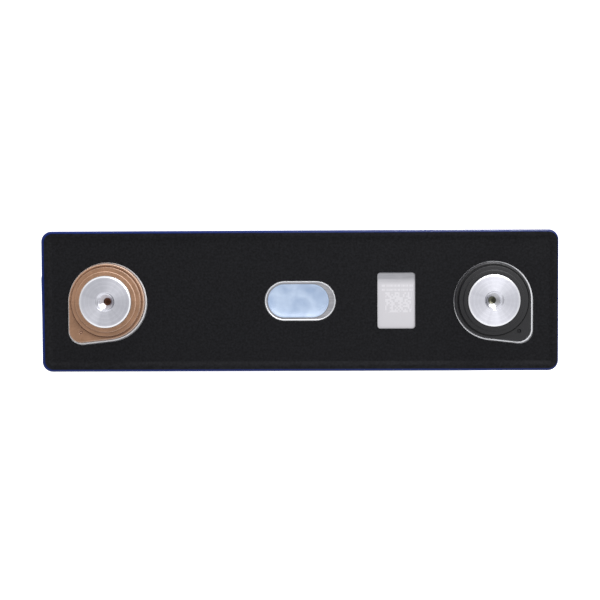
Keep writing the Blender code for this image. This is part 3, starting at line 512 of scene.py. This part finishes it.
wrapSizes = {
    "corner": 3.5 * mm, "shoulder": 0.8 * mm, "lip": 1.0 * mm, "wall": 0.2 * mm,
    "overlapFrom": -4.0 * mm, "overlapWidth": 12.0 * mm, "overlapStep": 0.15 * mm,
    "overlapEdge": 0.03 * mm, "overlapRamp": 0.8 * mm,
    "swell": 0.12 * mm, "swellReach": 78 * mm, "panels": 12,
    "foldThickness": 0.06 * mm, "foldReach": 2.0 * mm, "foldPitch": 1.4,  # pitch in thicknesses
}


def makeWrap():
    sizes = wrapSizes
    low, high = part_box("wrap_film")
    low = low + Vector((0, 0, 3 * sizes["foldThickness"]))
    wrap = addBlock("wrapFilm", low, high)
    editOn(wrap)
    pick("EDGE", isUpright)
    bpy.ops.mesh.bevel(offset=sizes["corner"], segments=10, affect="EDGES")
    for height in (low.z, high.z):
        pick("EDGE", lambda edge: liesAt(edge, height))
        bpy.ops.mesh.bevel(offset=sizes["shoulder"], segments=5, affect="EDGES")
    pick("FACE", lambda face: face.normal.z > 0.99)
    bpy.ops.mesh.inset(thickness=sizes["lip"])
    bpy.ops.mesh.delete(type="FACE")
    # rows of cuts let the wide walls swell a little
    panels = sizes["panels"]
    for number in range(1, panels):
        for normal, start, size in (((1, 0, 0), low.x, high.x - low.x), ((0, 0, 1), low.z, high.z - low.z)):
            bpy.ops.mesh.select_all(action="SELECT")
            point = Vector(normal) * (start + size * number / panels)
            bpy.ops.mesh.bisect(plane_co=point, plane_no=normal)
    middleZ = (low.z + high.z) / 2
    for side in (-1, 1):
        middle = Vector((0, side * high.y, middleZ))
        pick("VERT", lambda corner: (corner.co - middle).length < 0.1 * mm)
        bpy.ops.transform.translate(
            value=(0, side * sizes["swell"], 0), use_proportional_edit=True, use_proportional_connected=True,
            proportional_edit_falloff="SMOOTH", proportional_size=sizes["swellReach"],
        )
    # the film's outer end lies over its inner end on one narrow side
    start = sizes["overlapFrom"]
    end = start + sizes["overlapWidth"]
    for cutY in (start - sizes["overlapEdge"], start, end, end + sizes["overlapRamp"]):
        bpy.ops.mesh.select_all(action="SELECT")
        bpy.ops.mesh.bisect(plane_co=(0, cutY, 0), plane_no=(0, 1, 0))
    wallX = low.x + sizes["shoulder"]
    pick("VERT", lambda corner: corner.co.x < wallX and start - hair < corner.co.y < end + hair)
    bpy.ops.transform.translate(value=(-sizes["overlapStep"], 0, 0))
    editOff()
    applyModifier(wrap, "SOLIDIFY", thickness=sizes["wall"], offset=-1, use_even_offset=True)
    # below, the film's long flaps are folded over each other like a parcel
    reach, edge = sizes["foldReach"], sizes["shoulder"]
    flaps = []
    for number, side in enumerate((-1, 1)):
        thickness = sizes["foldThickness"]
        flapLow = number * sizes["foldPitch"] * thickness
        sideY = side * (high.y - edge)
        innerY = -side * reach
        corners = sorted((sideY, innerY))
        lowest = Vector((low.x + edge, corners[0], flapLow))
        highest = Vector((high.x - edge, corners[1], flapLow + thickness))
        flap = addBlock("flap", lowest, highest)
        editOn(flap)
        pick("VERT", lambda corner: abs(corner.co.y - innerY) < hair)
        inner = high.x - edge - abs(sideY - innerY)
        bpy.ops.transform.resize(value=(inner / (high.x - edge), 1, 1), center_override=(0, innerY, 0))
        editOff()
        flaps.append(flap)
    wrap = joinPieces("wrapFilm", [wrap] + flaps)
    return settle(wrap, bluePetFilm, "blue_film", "wrap_film")


makeWrap()


filmSizes = {
    "corner": 2.85 * mm, "thickness": 0.25 * mm, "inset": 0.25 * mm, "clearance": 0.7 * mm, "cutDrop": 0.25 * mm,
    "ventWindow": (24.1 * mm, 13.6 * mm), "codeWindow": (12.7 * mm, 18.8 * mm), "codeCorner": 1.0 * mm,
    # millimetres inwards and down, from the film's edge to its sunk middle
    "slope": ((0.9, 0.0), (0.35, 0.05), (0.35, 0.1), (0.35, 0.13), (0.3, 0.12), (0.25, 0.08), (0.15, 0.02)),
}
flangeCorner = 4.05 * mm  # radius of the flange's one corner


def flangeDiscs(side, axisX, extra=0.0, shift=0.0, drop=0.0):
    # the big and the small disc whose hull is a terminal's flange, drawn out towards the cell's end and front
    reach = flangeRadius - flangeCorner
    return [
        (axisX + shift, -drop, flangeRadius + extra),
        (axisX + side * reach + shift, ringLow.y + flangeCorner - drop, flangeCorner + extra),
    ]


def stadiumDiscs(length, width, middleX):
    half = (length - width) / 2
    return [(middleX - half, 0, width / 2), (middleX + half, 0, width / 2)]


def makeTopFilm():
    sizes = filmSizes
    inset = Vector((sizes["inset"], sizes["inset"], 0))
    low = Vector((filmLow.x, filmLow.y, filmHigh.z - sizes["thickness"]))
    film = addBlock("topFilm", low + inset, filmHigh - inset)
    editOn(film)
    pick("EDGE", isUpright)
    bpy.ops.mesh.bevel(offset=sizes["corner"], segments=10, affect="EDGES")
    # the film lies high over the wrap's lip and sinks to the cover in a soft slope
    pick("FACE", lambda face: face.normal.z < 0.99)
    bpy.ops.mesh.delete(type="FACE")
    pick("FACE", lambda face: face.normal.z > 0.99)
    for inwards, fall in sizes["slope"]:
        bpy.ops.mesh.inset(thickness=inwards * mm)
        bpy.ops.transform.translate(value=(0, 0, -fall * mm))
    editOff()
    applyModifier(film, "SOLIDIFY", thickness=sizes["thickness"], offset=-1, use_even_offset=True)
    lowZ, highZ = coverTop - mm, filmHigh.z + mm
    for side, axisX in ((-1, positiveX), (1, negativeX)):
        discs = flangeDiscs(side, axisX, sizes["clearance"], filmShift, sizes["cutDrop"])
        cutWith(film, addHull("cutter", discs, lowZ, highZ))
    cutWith(film, addHull("cutter", stadiumDiscs(*sizes["ventWindow"], filmShift), lowZ, highZ))
    halfX, halfY = (size / 2 - sizes["codeCorner"] for size in sizes["codeWindow"])
    discs = [(windowX + x, y, sizes["codeCorner"]) for x in (-halfX, halfX) for y in (-halfY, halfY)]
    cutWith(film, addHull("cutter", discs, lowZ, highZ, 32))
    return settle(film, blackGrainFilm, "black_film", "top_film")


makeTopFilm()


coverSizes = {
    "corner": 1.9 * mm, "boreGap": 0.5 * mm, "ventSeat": 1.25 * mm, "seatRise": 0.3 * mm,
    "ribHeight": 0.27 * mm, "ribWidth": 0.8 * mm, "ventRibWidth": 0.56 * mm, "ribRound": 0.26 * mm,
    "ribRoot": 0.3 * mm, "ribFloor": 0.05 * mm, "flangeGap": 0.06 * mm, "windowGap": 0.1 * mm,
    "filmGap": 0.3 * mm, "filmRecess": 0.5 * mm, "capRadius": 4.2 * mm, "capRecess": 1.0 * mm,
    "fillHole": 1.8 * mm,
}


def addRib(cover, discs, width):
    # a rounded rib stamped up round a seat: discs give its outer outline
    sizes = coverSizes
    ribTop = coverTop + sizes["ribHeight"]
    rib = addHull("rib", discs, coverTop - sizes["ribRoot"], ribTop)
    editOn(rib)
    pick("FACE", lambda face: face.normal.z > 0.99)
    bpy.ops.mesh.inset(thickness=width)
    sunk = (0, 0, coverTop - ribTop - sizes["ribFloor"])
    bpy.ops.mesh.extrude_region_move(TRANSFORM_OT_translate={"value": sunk})
    pick("EDGE", lambda edge: liesAt(edge, ribTop) and any(abs(face.normal.z) < 0.5 for face in edge.link_faces))
    bpy.ops.mesh.bevel(offset=sizes["ribRound"], segments=3, affect="EDGES")
    editOff()
    cutWith(cover, rib, "UNION")


def makeCover():
    sizes = coverSizes
    cover = addBlock("coverPlate", coverLow, coverHigh)
    editOn(cover)
    pick("EDGE", isUpright)
    bpy.ops.mesh.bevel(offset=sizes["corner"], segments=8, affect="EDGES")
    editOff()
    below, above = coverLow.z - mm, coverTop + mm
    ribWidth = sizes["ribWidth"]
    for side, axisX in ((-1, positiveX), (1, negativeX)):
        addRib(cover, flangeDiscs(side, axisX, sizes["flangeGap"] + ribWidth), ribWidth)
        cutWith(cover, addDisc("bore", (axisX, 0), padRadius + sizes["boreGap"], below, above))
    openLength, openWidth = (size - sizes["windowGap"] for size in filmSizes["ventWindow"])
    addRib(cover, stadiumDiscs(openLength, openWidth, filmShift), sizes["ventRibWidth"])
    # the vent: a recess for its film, a port through the plate and a seat for its disc from below
    gap, seat = sizes["filmGap"], 2 * sizes["ventSeat"]
    recess = stadiumDiscs(ventLength + gap, ventWidth + gap, ventX)
    cutWith(cover, addHull("recess", recess, coverTop - sizes["filmRecess"], above))
    cutWith(cover, addHull("port", stadiumDiscs(ventLength - seat, ventWidth - seat, ventX), below, above))
    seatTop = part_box("vent_disc")[1].z + sizes["seatRise"]
    lowerSeat = stadiumDiscs(ventLength + 2 * gap, ventWidth + 2 * gap, ventX)
    cutWith(cover, addHull("seat", lowerSeat, below, seatTop))
    cutWith(cover, addDisc("capSeat", (fillX, 0), sizes["capRadius"], coverTop - sizes["capRecess"], above))
    cutWith(cover, addDisc("fillHole", (fillX, 0), sizes["fillHole"], below, above))
    return settle(cover, laserMarkedAluminium, "can_aluminium", "cover_plate")


makeCover()


insulatorSizes = {
    "flange": 1.2 * mm, "edge": 0.45 * mm, "neckGap": 0.3 * mm, "padGap": 0.12 * mm, "mouth": 0.1 * mm,
    "ring": 2.9 * mm, "ringDrop": 1.2 * mm, "collar": 1.45 * mm, "collarDrop": 0.5 * mm,
    "root": 0.3 * mm, "draft": 0.02 * mm, "collarDraft": 0.01 * mm, "soft": 0.18 * mm,
    "moatWidth": 0.5 * mm, "moatDepth": 0.5 * mm,
    "gate": (8.65 * mm, -10.3 * mm), "gateRadius": 0.9 * mm, "gateDepth": 0.6 * mm, "gateRise": 0.01 * mm,
    "nubRadius": 0.3 * mm, "nubRoot": 0.2 * mm, "nubTip": 0.2 * mm, "nubDrop": (0.2 * mm, 0.1 * mm),
}
neckGroove = 1.5 * mm
neckRadius = padRadius - neckGroove


def makeInsulator(name, side, axisX, look, slot, node):
    sizes = insulatorSizes
    low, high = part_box(node)
    flangeTop = low.z + sizes["flange"]
    flange = addHull(name, flangeDiscs(side, axisX), low.z, flangeTop)
    editOn(flange)
    pick("EDGE", lambda edge: liesAt(edge, flangeTop))
    bpy.ops.mesh.bevel(offset=sizes["edge"], segments=5, affect="EDGES")
    editOff()
    below, above = low.z - mm, high.z + mm
    ringRadius, collarRadius = padRadius + sizes["ring"], padRadius + sizes["collar"]
    ringTop, collarTop = padTop - sizes["ringDrop"], padTop - sizes["collarDrop"]
    boreRadius, mouth, draft = padRadius + sizes["padGap"], sizes["mouth"], sizes["draft"]
    soft = sizes["soft"]
    outer, inner = soft * 0.35, soft * 0.3  # how far the middle of an outer and of an inner rounding lies in
    stations = [(ringRadius, low.z + sizes["root"]), (ringRadius, flangeTop)]
    stations += [(ringRadius - draft, ringTop - soft), (ringRadius - outer, ringTop - outer)]
    stations += [(ringRadius - soft - draft, ringTop), (collarRadius + soft, ringTop)]
    stations += [(collarRadius + inner, ringTop + inner), (collarRadius, ringTop + soft)]
    stations += [(collarRadius - sizes["collarDraft"], collarTop - soft)]
    stations += [(collarRadius - outer, collarTop - outer), (collarRadius - soft, collarTop)]
    stations += [(boreRadius + mouth, collarTop)]
    stations += [(boreRadius, collarTop - mouth), (boreRadius, flangeTop)]
    ring = turnOnLathe("ring", (axisX, 0), stations)
    moatRadius, moatFloor = ringRadius + sizes["moatWidth"], flangeTop - sizes["moatDepth"]
    cutWith(flange, addDisc("moat", (axisX, 0), moatRadius, moatFloor, above))
    cutWith(flange, ring, "UNION")
    cutWith(flange, addDisc("bore", (axisX, 0), neckRadius + sizes["neckGap"], below, above))
    # the sprue was cut off in a small round dip with a nub in it
    gatePlace = (axisX + side * sizes["gate"][0], sizes["gate"][1])
    gateRadius, gateDepth = sizes["gateRadius"], sizes["gateDepth"]
    gate = [(gateRadius * 0.7, flangeTop - gateDepth), (gateRadius * 0.85, flangeTop - gateDepth * 0.6)]
    gate += [(gateRadius, flangeTop + sizes["gateRise"]), (gateRadius, flangeTop + mm)]
    cutWith(flange, turnOnLathe("gate", gatePlace, gate, 32))
    shoulderDrop, tipDrop = sizes["nubDrop"]
    nub = [(sizes["nubRadius"], flangeTop - gateDepth - sizes["nubRoot"])]
    nub += [(sizes["nubRadius"], flangeTop - shoulderDrop), (sizes["nubTip"], flangeTop - tipDrop)]
    cutWith(flange, turnOnLathe("nub", gatePlace, nub, 24), "UNION")
    return settle(flange, look, slot, node)


makeInsulator("positiveInsulator", -1, positiveX, brownPlastic, "brown_plastic", "positive_top_insulator")
makeInsulator("negativeInsulator", 1, negativeX, blackPlastic, "black_plastic", "negative_top_insulator")


def makeThreadCutter(axisX):
    # a wedge-shaped bar wound into a helix: what a tap takes out of the bore
    sizes = terminalSizes
    pitch = sizes["threadPitch"]
    inner, outer = sizes["boreRadius"] - sizes["threadOverlap"], sizes["threadRadius"]
    rootWidth = pitch * sizes["threadRoot"]
    bpy.ops.object.select_all(action="DESELECT")
    bpy.ops.mesh.primitive_plane_add(size=1, location=(0, 0, 0))
    bar = nameNew("threadCutter")
    editOn(bar)
    pick("VERT", lambda corner: corner.co.x > 0)
    bpy.ops.transform.resize(value=(1, sizes["threadCrest"], 1), center_override=(0, 0, 0))
    bpy.ops.mesh.select_all(action="SELECT")
    bpy.ops.transform.resize(value=(outer - inner, rootWidth, 1), center_override=(0, 0, 0))
    bpy.ops.transform.rotate(value=math.radians(90), orient_axis="X", center_override=(0, 0, 0))
    bpy.ops.transform.translate(value=((inner + outer) / 2, 0, 0))
    bpy.ops.mesh.delete(type="ONLY_FACE")
    editOff()
    applyModifier(
        bar, "SCREW", axis="Z", angle=math.tau, screw_offset=pitch, iterations=sizes["threadTurns"] + 1,
        steps=48, render_steps=48, use_merge_vertices=False,
    )
    editOn(bar)
    bpy.ops.mesh.select_mode(type="EDGE")
    bpy.ops.mesh.select_non_manifold(extend=False)
    bpy.ops.mesh.edge_face_add()
    bpy.ops.mesh.select_all(action="SELECT")
    bpy.ops.mesh.normals_make_consistent(inside=False)
    bpy.ops.transform.translate(value=(axisX, 0, padTop - sizes["threadStart"]))
    editOff()
    return bar


def makeTerminal(name, axisX, bottom, look, node, hasFoot=False):
    sizes = terminalSizes
    neckTop = padTop - sizes["neckTop"]
    stations = []
    if hasFoot:
        footRadius = (footHigh.x - footLow.x) / 2
        stations += [(footRadius, bottom), (footRadius, bottom + sizes["footThickness"])]
        stations += [(neckRadius, bottom + sizes["footThickness"])]
    else:
        stations += [(neckRadius, bottom)]
    chamfer, fall, bore, sink = sizes["chamfer"], sizes["chamferFall"], sizes["boreRadius"], sizes["sinkRadius"]
    ledgeBottom = padTop - sizes["depth"] - sizes["ledge"]
    pilotBottom = ledgeBottom - sizes["pilotDepth"]
    # each soft pair is how far a small extra step lies in and down, so that the shading turns only there
    rimSoft, faceSoft, sinkSoft = sizes["rimSoft"], sizes["faceSoft"], sizes["sinkSoft"]
    stations += [(neckRadius, neckTop), (padRadius, neckTop), (padRadius, padTop - fall - rimSoft[1])]
    stations += [(padRadius - rimSoft[0], padTop - fall), (padRadius - chamfer, padTop - faceSoft[1])]
    stations += [(padRadius - chamfer - faceSoft[0], padTop)]
    stations += [(sink + sinkSoft[0], padTop), (sink, padTop - sinkSoft[1])]
    stations += [(bore, padTop - (sink - bore)), (bore, padTop - sizes["depth"])]
    stations += [(sizes["pilotRadius"], ledgeBottom), (sizes["pilotRadius"], pilotBottom)]
    stations += [(sizes["tipRadius"], pilotBottom - sizes["tip"])]
    terminal = turnOnLathe(name, (axisX, 0), stations)
    cutWith(terminal, makeThreadCutter(axisX))
    # the cut leaves flat slivers where it grazes an edge
    editOn(terminal)
    bpy.ops.mesh.select_all(action="SELECT")
    bpy.ops.mesh.remove_doubles(threshold=sizes["sliver"])
    bpy.ops.mesh.quads_convert_to_tris(quad_method="BEAUTY", ngon_method="BEAUTY")
    bpy.ops.mesh.dissolve_degenerate(threshold=sizes["sliver"])
    editOff()
    return settle(terminal, look, "turned_aluminium", node, angle=25)


# only the positive terminal is one block with its foot
makeTerminal("positivePad", positiveX, footLow.z, positiveAluminium, "positive_terminal", hasFoot=True)
makeTerminal("negativePad", negativeX, padLow.z, negativeAluminium, "negative_terminal")


ventSizes = {
    "thickness": 0.2 * mm,
    # millimetres inwards and up: a low welded rim, then a shallow dish
    "dish": (
        (0.12, 0.03), (0.2, -0.02), (0.3, -0.08), (0.35, -0.13), (0.45, -0.12), (0.6, -0.1), (0.8, -0.06),
        (1.0, -0.03),
    ),
}


def makeVentFilm():
    discs = stadiumDiscs(ventLength, ventWidth, ventX)
    film = addHull("ventCover", discs, ventLow.z, ventHigh.z, 96)
    editOn(film)
    pick("FACE", lambda face: face.normal.z < 0.99)
    bpy.ops.mesh.delete(type="FACE")
    pick("FACE", lambda face: face.normal.z > 0.99)
    for inwards, rise in ventSizes["dish"]:
        bpy.ops.mesh.inset(thickness=inwards * mm)
        bpy.ops.transform.translate(value=(0, 0, rise * mm))
    editOff()
    applyModifier(film, "SOLIDIFY", thickness=ventSizes["thickness"], offset=-1, use_even_offset=True)
    return settle(film, paleVentFilm, "vent_film", "vent_film", angle=50)


makeVentFilm()


stageSizes = {
    "floor": 4.0,
    # the camera's place, its height counted from the pads, and its turn in degrees
    "eye": (0.004, 0.012, 0.347), "tilt": (-1.912, 0.612, -0.25), "lens": 62.61, "sensor": 36,
    # the tent is dimmer in a patch overhead and towards its two ends
    "tentColour": (0.965, 0.975, 1, 1), "tentStrength": 1.08,
    "patchTowards": (-0.14, 0, 0.99), "patchEdge": (0.86, 0.97), "patchShade": 0.3,
    "endEdge": (0.6, 0.95), "endShade": 0.5,
    "aim": (0, 0, 0.15),
    "lights": (  # name, place, size in metres, power in watts
        ("keyLight", (0.20, 0.40, 0.70), 0.45, 2.1),
        ("rimLight", (0.21, 0.85, 0.25), 0.2, 5.0),  # low behind, for the gleam along the wrap's shoulder
    ),
}


def makeStage():
    sizes = stageSizes
    bpy.ops.object.select_all(action="DESELECT")
    bpy.ops.mesh.primitive_plane_add(size=sizes["floor"], location=(0, 0, 0))
    floor = nameNew("floor")
    look, tree, shader, place = startLook("whitePaperFloor", {
        "Base Color": "#f4f4f4", "Roughness": 0.9, "Emission Color": "#ffffff", "Emission Strength": 0.75,
    })
    floor.data.materials.append(look)

    world = bpy.data.worlds.new("studio")
    bpy.context.scene.world = world
    world.use_nodes = True
    sky = world.node_tree
    facing = addNode(sky, "ShaderNodeTexCoord", give="Generated")
    towards = {1: sizes["patchTowards"]}
    overhead = addNode(sky, vectorMaths, {0: facing}, towards, give=1, operation="DOT_PRODUCT")
    edge = sizes["patchEdge"]
    patch = addNode(sky, remap, {0: overhead}, {1: edge[0], 2: edge[1], 3: 1, 4: sizes["patchShade"]})
    acrossX = addNode(sky, separate, {0: facing})
    sideways = addNode(sky, maths, {0: acrossX}, operation="ABSOLUTE")
    edge = sizes["endEdge"]
    ends = addNode(sky, remap, {0: sideways}, {1: edge[0], 2: edge[1], 3: 1, 4: sizes["endShade"]})
    tent = addNode(sky, maths, {0: patch, 1: ends}, operation="MULTIPLY")
    colours = {6: (0, 0, 0, 1), 7: sizes["tentColour"]}
    tent = addNode(sky, mix, {0: tent}, colours, give=2, data_type="RGBA")
    background = sky.nodes["Background"]
    sky.links.new(tent, background.inputs["Color"])
    background.inputs["Strength"].default_value = sizes["tentStrength"]

    for name, place, size, power in sizes["lights"]:
        bpy.ops.object.light_add(type="AREA", location=place)
        light = bpy.context.object
        light.name = name
        light.data.size = size
        light.data.energy = power
        towards = Vector(sizes["aim"]) - Vector(place)
        light.rotation_euler = towards.to_track_quat("-Z", "Y").to_euler()

    eyeX, eyeY, eyeHeight = sizes["eye"]
    bpy.ops.object.camera_add(location=(eyeX, eyeY, padTop + eyeHeight))
    camera = bpy.context.object
    camera.rotation_euler = [math.radians(angle) for angle in sizes["tilt"]]
    camera.data.sensor_width = sizes["sensor"]
    camera.data.lens = sizes["lens"]
    camera.data.clip_start, camera.data.clip_end = 0.01, 10
    bpy.context.scene.camera = camera
    bpy.context.scene.view_settings.view_transform = "Standard"
    print("floor, lights and camera set")


makeStage()
